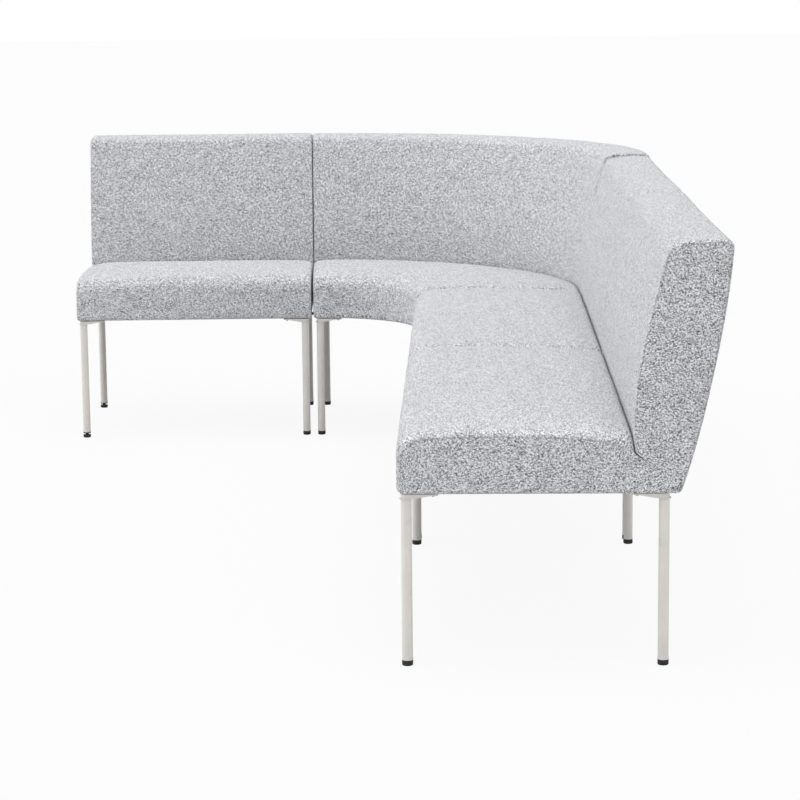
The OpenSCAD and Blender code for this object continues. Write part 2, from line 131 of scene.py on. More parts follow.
# How far the rear and the front of a back's top stand above BACK_Z
BACK_TOPS = {
    "single": (0.004, -0.002), "corner": (0.003, -0.003), "far": (0.0, -0.010), "near": (0.0, -0.010),
}

# How free each end of a seat is to roll over, at its start and at its finish
FREE_ENDS = {"single": (1.0, 0.0), "corner": (0.0, 0.0), "far": (0.5, 0.0), "near": (0.0, 1.0)}

# How far a back's top rolls down at its start and at its finish, as a share of top_roll
ROLLED_TOPS = {"single": (0.0, 0.0), "corner": (0.0, 0.0), "far": (1.0, 0.8), "near": (0.8, 0.0)}

# Middle lines that the end panels close on: two points, depth and height
SEAT_MIDDLE = np.array([[0.045, UNDER + 0.056], [0.412, UNDER + 0.050]])
BACK_MIDDLE = np.array([[0.498, UNDER + 0.023], [0.560, UNDER + 0.436]])

# How far the foam lies inside each edge of a section, and inside a bench's ends
SEAT_FOAM_INSET = np.array([0.018, 0.012, 0.012, 0.012, 0.012, 0.012])
BACK_FOAM_INSET = np.array([0.048, 0.032, 0.012, 0.012, 0.012, 0.012, 0.012])
FOAM_END = 0.0145

# How much smaller the foam's radii are, and its grid along and round
FOAM_SHARPER = 0.012
FOAM_ALONG, FOAM_ROUND = 0.020, 0.014

# Grid of the covers beside an end or a seam, on the corner's straight ends, and on
# its turn as a share of the widest spacing
FINEST_STEP, STRAIGHT_STEP, TURN_SHARE = 0.0004, 0.006, 0.4

# Share of a seat's crown that an end and a sewn seam take away, and how far that fades
CROWN_AT_END, CROWN_AT_SEAM, CROWN_FADE = 0.30, 0.22, 0.05

# Height of a seat's unevenness, widths of a sewn seam's groove and of a crease, and
# how far beside the columns of its edge a seam still shows. A crease carries dark stitches and a
# painted shade as wide as itself.
UNEVEN = 0.0006
GROOVE_NARROW, GROOVE_WIDE = 0.004, 0.025
CREASE_WIDTH = 0.0018
SEWN_FADE = 0.004

# Heights above the underside from which a seat counts as its top and as its rolled
# rear, and the heights over which that grows to the full
TOP_FROM, TOP_RISE = 0.050, 0.055
REAR_FROM, REAR_RISE = 0.080, 0.035

# How much shorter a free end's slope is at the rear, how much of it the rear roll
# takes up, and the size of its front corner
SEAT_DEPTH, SLOPE_TAPER, SLOPE_SPARED = 0.43, 0.55, 0.6
CORNER_ALONG, CORNER_DEEP = 0.06, 0.09

# The roll of a seat's rear corners: from which depth on, over what width, with what
# power, and how far from an end
ROLL_FROM, ROLL_WIDTH, ROLL_POWER, ROLL_REACH = 0.295, 0.140, 2.8, 0.045

# The roll of a back's top: how far from an end, from how far under BACK_Z, over what
# height. The share of a back's swell that an end takes away, and how far that and
# the calm of its ripples fade.
TOP_ROLL_REACH, TOP_ROLL_UNDER, TOP_ROLL_RISE = 0.090, 0.070, 0.060
SWELL_AT_END, SWELL_FADE, RIPPLE_FADE = 0.1, 0.045, 0.05

# Frames of the cloth simulation, the hold on a seat's front edge, how far a hold fades,
# the width of the carrying weights in steps of the grid, and the calm beside an end
CLOTH_FRAMES = 20
FRONT_HOLD = 0.7
HOLD_FADE = 0.012
CARRY_WIDTH = 0.8
CALM_END = 0.010

# The dust cloths: margin at the ends, front and rear depth, spacing and lines of the
# grid, drop under the board, thickness, puckers and their fading
DUST_MARGIN = 0.020
DUST_FRONT, DUST_REAR = 0.023, 0.505
DUST_STEP, DUST_LINES = 0.01, 49
DUST_DROP, DUST_THICKNESS = 0.0005, 0.0006
PUCKER_LENGTH, PUCKER_HEIGHT, PUCKER_FADE = 0.06, 0.00006, 0.015


def unit(v):
    """Vectors of length one in the direction of v."""
    return v / np.linalg.norm(v, axis=-1, keepdims=True)


def cross2(a, b):
    """Height of the cross product of plane vectors."""
    return a[..., 0] * b[..., 1] - a[..., 1] * b[..., 0]


def left_of(v):
    """Plane vectors turned a quarter turn to the left."""
    return np.stack([-v[..., 1], v[..., 0]], -1)


def draw_in(t, reach):
    """Share by which an edge is drawn in at t from the end: a quarter ellipse,
    one less the root of one less the square of (1 - t / reach), zero past the reach."""
    s = np.clip(1 - t / reach, 0, 1)
    return 1 - np.sqrt(1 - s * s)


def smooth(x):
    """Smooth step: 3x² - 2x³ between 0 and 1."""
    x = np.clip(x, 0, 1)
    return x * x * (3 - 2 * x)


def waves(x, seed, longest, shortest, count=7):
    """Sum of sines with seeded lengths and phases, within about -1 to 1."""
    rng = np.random.default_rng(seed)
    lengths = np.exp(rng.uniform(math.log(shortest), math.log(longest), count))
    phases = rng.uniform(0, 2 * math.pi, count)
    weights = rng.uniform(0.5, 1.0, count) * np.sqrt(lengths / longest)
    total = (weights * np.sin(2 * math.pi * x[..., None] / lengths + phases)).sum(-1)
    return total / weights.sum() * 1.6


def glide_spot(bench, place):
    """Plan position of a glide's axis."""
    low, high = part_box(f"{bench}_glide_{place}")
    return np.array([(low.x + high.x) / 2, (low.y + high.y) / 2])


class StraightPath:
    """A straight bench. A plan point is origin + x along + u depth."""

    def __init__(self, bench):
        left, right, rear = (
            glide_spot(bench, p) for p in ("front_left", "front_right", "rear_left")
        )
        self.along = unit(right - left)
        self.depth = unit(rear - left)
        self.length = float(np.linalg.norm(right - left)) + 2 * LEG_END
        self.origin = left - self.along * LEG_END - self.depth * LEG_FRONT
        self.curved = False

    def place(self, x, u):
        return self.origin + self.along * x[..., None] + self.depth * u[..., None]


class CornerPath:
    """The corner bench: straight, a quarter turn about the hub, straight. With the
    turned angle f, the tangent is (cos f, -sin f) and depth runs along (sin f, cos f).
    The ends move outwards by lean times depth, fading in a smooth step over a reach."""

    def __init__(self, bench, lean):
        left, right = (glide_spot(bench, p) for p in ("front_left", "front_right"))
        shift = CORNER_STRAIGHT - LEG_END
        self.hub = np.array([left[0] + shift, right[1] + shift])
        self.radius = float(left[1] - self.hub[1]) - LEG_FRONT
        self.arc = self.radius * math.pi / 2
        self.length = self.arc + 2 * CORNER_STRAIGHT
        self.lean = lean
        self.curved = True

    def place(self, x, u):
        fade = 1 - smooth(np.minimum(x, self.length - x) / LEAN_REACH)
        run = x + np.sign(x - self.length / 2) * self.lean * u * fade - CORNER_STRAIGHT
        f = np.clip(run / self.radius, 0, math.pi / 2)
        rest = run - f * self.radius
        tangent = np.stack([np.cos(f), -np.sin(f)], -1)
        depth = np.stack([np.sin(f), np.cos(f)], -1)
        return self.hub + depth * (self.radius + u)[..., None] + tangent * rest[..., None]


def path_of(bench, lean=0.0):
    """The path that a bench's sections are carried along."""
    return CornerPath(bench, lean) if bench == "corner" else StraightPath(bench)


def graded(length, first, widest, growth=1.28):
    """Positions from 0 to length, first apart at both ends and up to widest apart
    between: each gap is the last one times growth."""
    gaps = np.minimum(first * growth ** np.arange(400), widest)
    sums = np.concatenate([[0], np.cumsum(gaps)])
    count = int(np.searchsorted(sums, length / 2))
    half = sums[: count + 1] * (length / 2 / sums[count])
    return np.concatenate([half, length - half[-2::-1]])


def stations(path, seam, step):
    """Positions along a bench: dense at its ends and at a sewn seam."""
    if path.curved:
        ends = graded(2 * CORNER_STRAIGHT, FINEST_STEP, STRAIGHT_STEP)
        head = ends[ends < CORNER_STRAIGHT - 1e-6]
        turn = np.linspace(0, path.arc, int(path.arc / (step * TURN_SHARE)) + 1)
        return np.concatenate([head, CORNER_STRAIGHT + turn, path.length - head[::-1]])
    if not seam:
        return graded(path.length, FINEST_STEP, step)
    half = graded(path.length / 2, FINEST_STEP, step)
    return np.concatenate([half, path.length / 2 + half[1:]])


def section(corners, edges, t, inset, swell, step):
    """Closed outlines, one row for each station, counterclockwise. Each edge of the
    corner polygon moves inwards by draw times draw_in(t) plus its inset, corners are
    rounded by tangent arcs, and an edge swells outwards by swell times one less a
    power of the distance from where it is fullest, as a share of that side's length.
    Gives the points, and the edge that each column lies on."""
    p, radius = corners[:, :2], corners[:, 2]
    ahead = unit(np.roll(p, -1, 0) - p)
    behind = np.roll(ahead, 1, 0)
    inward = edges[:, DRAW] * draw_in(t[:, None], edges[:, REACH]) + inset
    qa = p + left_of(behind) * np.roll(inward, 1, 1)[..., None]
    qb = p + left_of(ahead) * inward[..., None]
    slide = cross2(qb - qa, ahead) / cross2(behind, ahead)
    moved = qa + behind * slide[..., None]
    turn = np.arctan2(cross2(behind, ahead), (behind * ahead).sum(-1))
    hand = np.where(turn < 0, -1.0, 1.0)
    cut = radius * np.tan(np.abs(turn) / 2)
    hub = moved - behind * cut[:, None] + left_of(behind) * (hand * radius)[:, None]
    columns, edge_of = [], []
    n = len(corners)
    for k in range(n):
        steps = 0 if radius[k] == 0 else max(3, math.ceil(radius[k] * abs(turn[k]) / step))
        if steps:
            angle = turn[k] * np.linspace(0, 1, steps + 1)
            arm = -left_of(behind[k]) * hand[k] * radius[k]
            arms = np.stack([
                arm[0] * np.cos(angle) - arm[1] * np.sin(angle),
                arm[0] * np.sin(angle) + arm[1] * np.cos(angle),
            ], -1)
            columns.append(hub[:, k, None] + arms)
        else:
            columns.append(moved[:, k, None])
        edge_of += [k] * (steps + 1)
        m = (k + 1) % n
        begin = moved[:, k] + ahead[k] * cut[k]
        last = moved[:, m] - ahead[k] * cut[m]
        parts = max(1, round(float(np.linalg.norm(last - begin, axis=-1).max()) / step))
        s = np.linspace(0, 1, parts + 1)[1:-1]
        peak, before, after = edges[k, FULLEST:]
        hill = np.where(
            s < peak, 1 - np.abs(1 - s / peak) ** before, 1 - np.abs((s - peak) / (1 - peak)) ** after
        )
        out = swell[:, k, None] * hill
        line = begin[:, None] + (last - begin)[:, None] * s[:, None]
        columns.append(line - left_of(ahead[k]) * out[..., None])
        edge_of += [k] * len(s)
    return np.concatenate(columns, 1), np.array(edge_of)


# Rings of an end panel, as shares of the way out to its outline
CAP_SHARES = np.array([0.04, 0.12, 0.22, 0.34, 0.46, 0.57, 0.67, 0.76, 0.83, 0.89, 0.94, 0.97, 0.985])


def end_panel(ring, middle):
    """Rings that shrink an end outline towards its middle line: the middle's nearest
    height or depth, plus a share of the way out to the outline."""
    axis = int(np.argmax(np.abs(middle[1] - middle[0])))
    s = np.clip((ring[:, axis] - middle[0, axis]) / (middle[1, axis] - middle[0, axis]), 0, 1)
    centre = middle[0] + (middle[1] - middle[0]) * s[:, None]
    return centre + (ring - centre) * CAP_SHARES[:, None, None]


def lengths_along(points, axis):
    """Running length of the grid lines along an axis."""
    gap = np.linalg.norm(np.diff(points, axis=axis), axis=-1)
    start = np.zeros_like(np.take(gap, [0], axis=axis))
    return np.concatenate([start, np.cumsum(gap, axis=axis)], axis=axis)


def round_lengths(rings):
    """Position of each column round the middle ring, and the length of that ring."""
    ring = rings[len(rings) // 2]
    lengths = lengths_along(np.concatenate([ring, ring[:1]]), 0)
    return lengths[:-1], lengths[-1]


def wrapped(grid):
    """A grid of values with its first column repeated after its last."""
    return np.concatenate([grid, grid[:, :1]], 1)


def grid_quads(rows, columns, closed):
    """Faces of a grid of points that are numbered row by row, and the row and column
    at which each face starts. A closed grid joins its last column to its first."""
    starts = np.arange(columns if closed else columns - 1)
    row, column = np.meshgrid(np.arange(rows - 1), starts, indexing="ij")
    after = (column + 1) % columns
    quads = np.stack([
        row * columns + column, row * columns + after,
        (row + 1) * columns + after, (row + 1) * columns + column,
    ], -1)
    return quads.reshape(-1, 4), row, column


def world_points(path, along, depth, height):
    """Points at positions along a path, depths and heights."""
    return np.concatenate([path.place(along, depth), height[..., None]], -1)


def new_object(name, points, faces, material=None):
    """A smooth object at the origin, with one material or none."""
    mesh = bpy.data.meshes.new(name)
    mesh.from_pydata(points.tolist(), [], faces)
    if material:
        mesh.materials.append(material)
    mesh.polygons.foreach_set("use_smooth", np.ones(len(mesh.polygons), bool))
    mesh.update()
    obj = bpy.data.objects.new(name, mesh)
    bpy.context.scene.collection.objects.link(obj)
    return obj


def cloth_map(mesh, loops):
    """The uv map that cloth is woven on, in metres: a point for each loop."""
    layer = mesh.uv_layers.new(name="cloth")
    layer.data.foreach_set("uv", loops.astype(np.float32).ravel())


def point_values(mesh, name, values):
    """A float for each vertex, kept in the mesh under a name."""
    layer = mesh.attributes.new(name, "FLOAT", "POINT")
    layer.data.foreach_set("value", np.ascontiguousarray(values, np.float32).ravel())


def closed_skin(name, path, x, rings, middle, material, bulge, flat_columns, seams, crease, move=None):
    """A closed skin. Rings of (depth, height) stand at the positions x of the path;
    each end closes with an end panel whose point bulges by bulge (1 - share³). Seams
    give rows and the share of the seam on each column: a crease of the given depth,
    exp(-(distance / 1.8 mm)²) wide, follows each of them. A move is added to the rings.
    The uv map is in metres: length along the bench by length round the section, the
    plan on flat columns, and depth by height on the end panels."""
    first, last = end_panel(rings[0], middle), end_panel(rings[-1], middle)[::-1]
    out = bulge * (1 - CAP_SHARES ** 3)
    caps, columns = len(CAP_SHARES), rings.shape[1]
    flat = np.concatenate([first, rings, last])
    along = np.concatenate([x[0] - out, x, x[-1] + out[::-1]])[:, None] * np.ones(columns)
    rows = len(flat)
    world = world_points(path, along, flat[..., 0], flat[..., 1])
    run = lengths_along(world, 0)
    seam = np.zeros((rows, columns))
    for row, share in seams:
        near_seam = np.exp(-(((run - run[caps + row]) / CREASE_WIDTH) ** 2)) * share
        seam = np.maximum(seam, near_seam)
        side = 1 if row == 0 else -1 if row == len(x) - 1 else 0
        along = along + side * crease * near_seam
    world = world_points(path, along, flat[..., 0], flat[..., 1])
    if move is not None:
        world[caps:rows - caps] += move

    at, around = round_lengths(rings)
    run = wrapped(run - run[rows // 2])
    strip = np.stack([run, np.broadcast_to(np.append(at, around), run.shape)], -1)
    plan = wrapped(world[..., :2])
    panel = wrapped(flat)
    quads, face_row, face_column = grid_quads(rows, columns, True)
    on_cap = (face_row < caps) | (face_row >= rows - 1 - caps)
    on_flat = flat_columns[face_column] & ~on_cap
    uv = np.empty((rows - 1, columns, 4, 2))
    for corner, (dj, di) in enumerate([(0, 0), (0, 1), (1, 1), (1, 0)]):
        pick = (face_row + dj, face_column + di)
        uv[:, :, corner] = np.where(
            on_cap[..., None], panel[pick], np.where(on_flat[..., None], plan[pick], strip[pick])
        )
    column, onward = np.arange(columns), (np.arange(columns) + 1) % columns
    poles = rows * columns + np.zeros((2, columns), int) + [[0], [1]]
    fans = np.concatenate([
        np.stack([poles[0], onward, column], -1),
        np.stack([poles[1], column + (rows - 1) * columns, onward + (rows - 1) * columns], -1),
    ])
    centre = np.broadcast_to(flat[[0, -1]].mean(1)[:, None], (2, columns, 2))
    fan_uv = np.concatenate([
        np.stack([centre[0], flat[0, onward], flat[0]], 1),
        np.stack([centre[1], flat[-1], flat[-1, onward]], 1),
    ])
    points = np.concatenate([world.reshape(-1, 3), world[[0, -1]].mean(1)])
    obj = new_object(name, points, quads.tolist() + fans.tolist(), material)
    cloth_map(obj.data, np.concatenate([uv.reshape(-1, 2), fan_uv.reshape(-1, 2)]))
    # The seam attribute marks where the cloth shows dark stitches and a painted shade in the seam's
    # crease.
    point_values(obj.data, "seam", np.append(seam, [0.0, 0.0]))
    point_values(obj.data, "stitch", np.append(np.tile(at, rows), [0.0, 0.0]))
    return obj


def evened(have, want, width, around=None):
    """Weights that carry values from the positions have to the positions want: each
    the exponential of minus the squared distance over width, summing to one. Around
    is the length after which positions repeat."""
    apart = want[:, None] - have
    if around is not None:
        apart = (apart + around / 2) % around - around / 2
    weights = np.exp(-((apart / width) ** 2))
    return weights / weights.sum(1, keepdims=True)


def settled(path, x, rings, hold, share, limit, pressure):
    """Cloth simulation of a cover, as an open tube of rings under the pressure of its
    foam. Points with hold 1 stay. Gives a share of how far each point moves, since
    the foam bears the rest: the limit times tanh(share times distance / limit)."""
    scene = bpy.context.scene
    rows, columns = rings.shape[:2]
    along = np.broadcast_to(x[:, None], (rows, columns))
    start = world_points(path, along, rings[..., 0], rings[..., 1]).reshape(-1, 3)
    tube = new_object("tube", start, grid_quads(rows, columns, True)[0].tolist())
    group = tube.vertex_groups.new(name="held")
    hold = np.round(hold.ravel(), 1)
    for level in np.unique(hold[hold > 0]):
        group.add(np.flatnonzero(hold == level).tolist(), float(level), "REPLACE")
    cloth = tube.modifiers.new("cloth", "CLOTH")
    cloth.settings.quality = 5
    cloth.settings.mass = 0.3
    cloth.settings.air_damping = 2
    for stiffness, value in (("tension", 15), ("compression", 15), ("shear", 5), ("bending", 0.5)):
        setattr(cloth.settings, stiffness + "_stiffness", value)
    cloth.settings.vertex_group_mass = "held"
    cloth.settings.use_pressure = True
    cloth.settings.uniform_pressure_force = pressure
    cloth.settings.effector_weights.gravity = 0
    cloth.collision_settings.use_collision = False
    cloth.collision_settings.use_self_collision = False
    cloth.point_cache.frame_start, cloth.point_cache.frame_end = 1, CLOTH_FRAMES
    for step in range(1, CLOTH_FRAMES + 1):
        scene.frame_set(step)
    end = np.empty(rows * columns * 3, np.float32)
    tube.evaluated_get(bpy.context.evaluated_depsgraph_get()).data.vertices.foreach_get("co", end)
    scene.frame_set(1)
    mesh = tube.data
    bpy.data.objects.remove(tube)
    bpy.data.meshes.remove(mesh)
    if not np.isfinite(end).all():
        raise RuntimeError("the cloth of a cover didn't settle")
    move = share * (end.reshape(-1, 3) - start)
    size = np.linalg.norm(move, axis=1, keepdims=True)
    move = move * (limit * np.tanh(size / limit) / np.maximum(size, 1e-9))
    return move.reshape(rows, columns, 3)


def finished(obj, slot, *nodes):
    """The piece rides on the benches and stands for its CAD nodes."""
    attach(obj, BODY)
    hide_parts(*nodes)


# Materials

# Second colours: in the foam's pits, on dull enamel, on scuffed nylon, on the zinc
FOAM_PIT = (0.75, 0.68, 0.5)
DULL_ENAMEL = (0.42, 0.40, 0.37)
SCUFFED_NYLON = (0.09, 0.09, 0.09)
ZINC_BLOOM = (0.40, 0.43, 0.48)

# Height of two layers of the plywood
PLY = 0.003


class Nodes:
    """The nodes of a new material or world. add() makes a node, sets its plain inputs
    and links the inputs that are given as another node's output."""

    def __init__(self, name, kind="materials"):
        self.owner = getattr(bpy.data, kind).new(name)
        self.owner.use_nodes = True
        self.tree = self.owner.node_tree
        self.tree.nodes.clear()

    def add(self, kind, settings=None, **inputs):
        node = self.tree.nodes.new(kind)
        for key, value in (settings or {}).items():
            setattr(node, key, value)
        for key, value in inputs.items():
            place = int(key[1:]) if key[1:].isdigit() else key.replace("_", " ")
            socket = node.inputs[place]
            if isinstance(value, bpy.types.NodeSocket):
                self.tree.links.new(value, socket)
            else:
                socket.default_value = value
        return node

    def math(self, operation, a, b=0.0, clamp=False):
        settings = {"operation": operation, "use_clamp": clamp}
        return self.add("ShaderNodeMath", settings, i0=a, i1=b).outputs[0]

    def product(self, a, b):
        return self.math("MULTIPLY", a, b)

    def mix(self, mode, factor, a, b):
        settings = {"data_type": "RGBA", "blend_type": mode}
        return self.add("ShaderNodeMix", settings, i0=factor, i6=a, i7=b).outputs[2]

    def sine(self, value, pitch):
        return self.math("SINE", self.product(value, 2 * math.pi / pitch))

    def split(self, vector):
        return self.add("ShaderNodeSeparateXYZ", Vector=vector).outputs

    def scaled(self, vector, scale, location=(0, 0, 0)):
        return self.add("ShaderNodeMapping", Vector=vector, Scale=scale, Location=location).outputs[0]

    def noise(self, vector, scale, detail=2.0, roughness=0.5):
        settings = {"Vector": vector, "Scale": scale, "Detail": detail, "Roughness": roughness}
        return self.add("ShaderNodeTexNoise", **settings).outputs["Fac"]

    def cells(self, vector, scale, dimensions="2D"):
        """A random value for each cell, and the distance from its middle."""
        settings = {"voronoi_dimensions": dimensions}
        node = self.add("ShaderNodeTexVoronoi", settings, Vector=vector, Scale=scale)
        split = self.add("ShaderNodeSeparateColor", Color=node.outputs["Color"])
        return split.outputs[0], node.outputs["Distance"]

    def ramp(self, value, stops):
        node = self.add("ShaderNodeValToRGB", Fac=value)
        elements = node.color_ramp.elements
        while len(elements) < len(stops):
            elements.new(0.5)
        for element, (position, colour) in zip(elements, stops):
            element.position = position
            element.color = tone(colour)
        return node.outputs["Color"]

    def span(self, value, low, high, to_low, to_high):
        node = self.add("ShaderNodeMapRange", i0=value, i1=low, i2=high, i3=to_low, i4=to_high)
        return node.outputs[0]

    def grade(self, noise, low, high):
        """The middle part of a noise, stretched from low to high."""
        return self.span(noise, 0.3, 0.7, low, high)

    def bump(self, height, distance, strength=1.0):
        node = self.add("ShaderNodeBump", Height=height, Distance=distance, Strength=strength)
        return node.outputs[0]

    def finish(self, **inputs):
        surface = self.add("ShaderNodeBsdfPrincipled", **inputs)
        self.add("ShaderNodeOutputMaterial", Surface=surface.outputs[0])
        return self.owner


def object_coordinates(nodes):
    return nodes.add("ShaderNodeTexCoord").outputs["Object"]


def tone(colour):
    return (*colour, 1.0)


def woven_cloth(look):
    """Mottled woven cloth: short dark and pale yarns in a mid grey ground, a plain
    weave in the bump, soft cloudy variation, and dark stitches along the seams with a painted shade in
    their creases."""
    n = Nodes("mottled_cloth")
    uv = n.add("ShaderNodeUVMap", {"uv_map": "cloth"}).outputs[0]
    lie = n.scaled(uv, (1 / look.fleck_aspect, 1.0, 1.0))
    shift = n.scaled(uv, (1 / look.fleck_aspect, 1.0, 1.0), (0.371, 0.193, 0.0))
    fine, middle = n.cells(lie, 1 / look.fleck_size)
    coarse, _ = n.cells(shift, 1 / (2.1 * look.fleck_size))
    dark, mid, pale = look.dark_yarn, look.ground_yarn, look.pale_yarn
    yarns = [(0.0, dark), (0.24, dark), (0.30, mid), (0.52, mid), (0.60, pale), (1.0, pale)]
    small = n.ramp(fine, yarns)
    large = n.ramp(coarse, yarns)
    colour = n.mix("MIX", 0.05, small, large)
    clouds = n.grade(n.noise(uv, 38.0, 3.0), 0.94, 1.06)
    colour = n.mix("MULTIPLY", 1.0, colour, clouds)
    # Painted shade: along a seam the colour darkens towards the stitch and crease shade colour, both as
    # dark stitches and as the shade in the seam's crease, in dashes of the stitch pitch.
    seam, stitch = (
        n.add("ShaderNodeAttribute", {"attribute_name": a}).outputs["Fac"] for a in ("seam", "stitch")
    )
    thread = n.span(n.sine(stitch, look.stitch_pitch), -0.4, 0.4, 0.35, 1.0)
    line = n.product(n.span(seam, 0.35, 0.95, 0.0, 1.0), thread)
    colour = n.mix("MIX", n.product(line, look.seam_shade), colour, tone(look.stitch_and_crease_shade_colour))
    across, along, _ = n.split(uv)
    weave = n.product(n.sine(across, look.weave_pitch), n.sine(along, look.weave_pitch))
    height = n.math("ADD", n.product(weave, 0.35), n.math("SUBTRACT", fine, middle))
    return n.finish(
        Base_Color=colour,
        Roughness=n.span(fine, 0.0, 1.0, 0.82, 0.96),
        Normal=n.bump(height, 0.00035, 0.6),
        Sheen_Weight=0.28,
        Sheen_Roughness=0.45,
        Specular_IOR_Level=0.2,
    )


def foam_material(look):
    """Open-cell foam: pale, with pits of two sizes."""
    n = Nodes("foam")
    at = object_coordinates(n)
    pit, depth = n.cells(at, 900.0, "3D")
    _, hollow = n.cells(at, 330.0, "3D")
    shade = n.grade(n.noise(at, 14.0, 3.0), 0.93, 1.04)
    colour = n.mix("MULTIPLY", 1.0, tone(look.foam), shade)
    colour = n.mix("MULTIPLY", n.product(pit, 0.25), colour, tone(FOAM_PIT))
    height = n.math("ADD", depth, hollow)
    rough = n.span(pit, 0, 1, 0.8, 0.95)
    return n.finish(Base_Color=colour, Roughness=rough, Normal=n.bump(height, 0.0008))


def plywood_material(look):
    """Birch plywood: long grain lines on the faces and thin dark glue lines."""
    n = Nodes("birch_plywood")
    at = object_coordinates(n)
    grain = n.noise(n.scaled(at, (3.0, 60.0, 60.0)), 4.0, 6.0, 0.6)
    fibre = n.noise(n.scaled(at, (20.0, 400.0, 400.0)), 2.0, 3.0)
    height = n.split(at)[2]
    layer = n.span(n.sine(height, PLY), 0.85, 1.0, 1.0, 0.82)
    colour = n.ramp(grain, [(0.3, look.timber_dark), (0.7, look.timber)])
    colour = n.mix("MULTIPLY", 1.0, colour, layer)
    colour = n.mix("MULTIPLY", 0.5, colour, n.grade(fibre, 0.85, 1.0))
    rough = n.grade(grain, 0.5, 0.7)
    return n.finish(Base_Color=colour, Roughness=rough, Normal=n.bump(fibre, 0.0002))


def dust_cloth_material(look):
    """Bonded black dust cloth with a rolled pattern of small dimples."""
    n = Nodes("dust_cloth")
    uv = n.add("ShaderNodeUVMap", {"uv_map": "cloth"}).outputs[0]
    _, dimple = n.cells(uv, 420.0)
    fibre = n.noise(uv, 900.0, 2.0)
    tint = n.grade(fibre, 0.8, 1.25)
    colour = n.mix("MULTIPLY", 1.0, tone(look.dust_cloth), tint)
    height = n.math("ADD", dimple, n.product(fibre, 0.5))
    rough = n.grade(fibre, 0.75, 0.9)
    return n.finish(Base_Color=colour, Roughness=rough, Normal=n.bump(height, 0.0004))


def enamel_material(look):
    """Baked enamel on steel: faint orange peel and a slightly duller lower end."""
    n = Nodes("leg_enamel")
    at = object_coordinates(n)
    peel = n.noise(at, 900.0, 2.0)
    cloud = n.noise(at, 22.0, 3.0)
    height = n.split(at)[2]
    low = n.product(n.span(height, 0.01, 0.07, 1.0, 0.0), n.span(cloud, 0.4, 0.7, 0.0, 1.0))
    colour = n.mix("MULTIPLY", 1.0, tone(look.enamel), n.grade(cloud, 0.97, 1.02))
    colour = n.mix("MIX", n.product(low, 0.25), colour, tone(DULL_ENAMEL))
    return n.finish(
        Base_Color=colour,
        Roughness=n.grade(cloud, 0.26, 0.38),
        Normal=n.bump(peel, 0.00008),
        Coat_Weight=0.15,
        Coat_Roughness=0.2,
    )


def nylon_material(look):
    """Moulded black nylon, matt, with fine grain and scuffs at the foot."""
    n = Nodes("glide_nylon")
    at = object_coordinates(n)
    grain = n.noise(at, 1400.0, 2.0)
    cloud = n.noise(at, 120.0, 3.0)
    height = n.split(at)[2]
    scuff = n.product(n.span(height, 0.0, 0.003, 1.0, 0.0), n.span(cloud, 0.45, 0.65, 0.0, 1.0))
    colour = n.mix("MIX", n.product(scuff, 0.4), tone(look.nylon), tone(SCUFFED_NYLON))
    rough = n.grade(cloud, 0.4, 0.55)
    return n.finish(Base_Color=colour, Roughness=rough, Normal=n.bump(grain, 0.00006))


def zinc_material(look):
    """Zinc-plated steel with a faint bluish bloom."""
    n = Nodes("zinc_steel")
    at = object_coordinates(n)
    bloom = n.noise(at, 160.0, 4.0)
    mark = n.noise(at, 1800.0, 2.0)
    blued = n.span(bloom, 0.35, 0.65, 0.0, 0.5)
    colour = n.mix("MIX", blued, tone(look.zinc), tone(ZINC_BLOOM))
    rough = n.grade(bloom, 0.28, 0.45)
    return n.finish(Base_Color=colour, Metallic=1.0, Roughness=rough, Normal=n.bump(mark, 0.00005))


def plate_material(look):
    """Black powder coat on the link plates, finely pebbled."""
    n = Nodes("plate_powder_coat")
    at = object_coordinates(n)
    pebble = n.noise(at, 1100.0, 3.0)
    cloud = n.noise(at, 40.0, 3.0)
    colour = n.mix("MULTIPLY", 1.0, tone(look.powder_coat), n.grade(cloud, 0.8, 1.2))
    rough = n.grade(cloud, 0.45, 0.6)
    return n.finish(Base_Color=colour, Roughness=rough, Normal=n.bump(pebble, 0.0001))


def repaint(nodes, material):
    """Gives carried-over CAD nodes a material through their slots."""
    for name in nodes:
        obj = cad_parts[name]
        if not obj.material_slots:
            obj.data.materials.append(material)
        for slot in obj.material_slots:
            slot.material = material


# Settings


def amount(name, description, default, high, low=0.0, **kind):
    """A number, of the unit or subtype that kind gives."""
    return FloatProperty(name=name, description=description, default=default, min=low, max=high, **kind)


def fraction(name, description, default):
    """A share of one."""
    return amount(name, description, default, 1.0, subtype="FACTOR")


def metres(name, description, default, high, low=0.0):
    """A length."""
    return amount(name, description, default, high, low, unit="LENGTH")


def rgb(name, description, default):
    """A colour, red, green and blue."""
    return FloatVectorProperty(
        name=name, description=description, default=default, min=0.0, max=1.0, size=3, subtype="COLOR"
    )


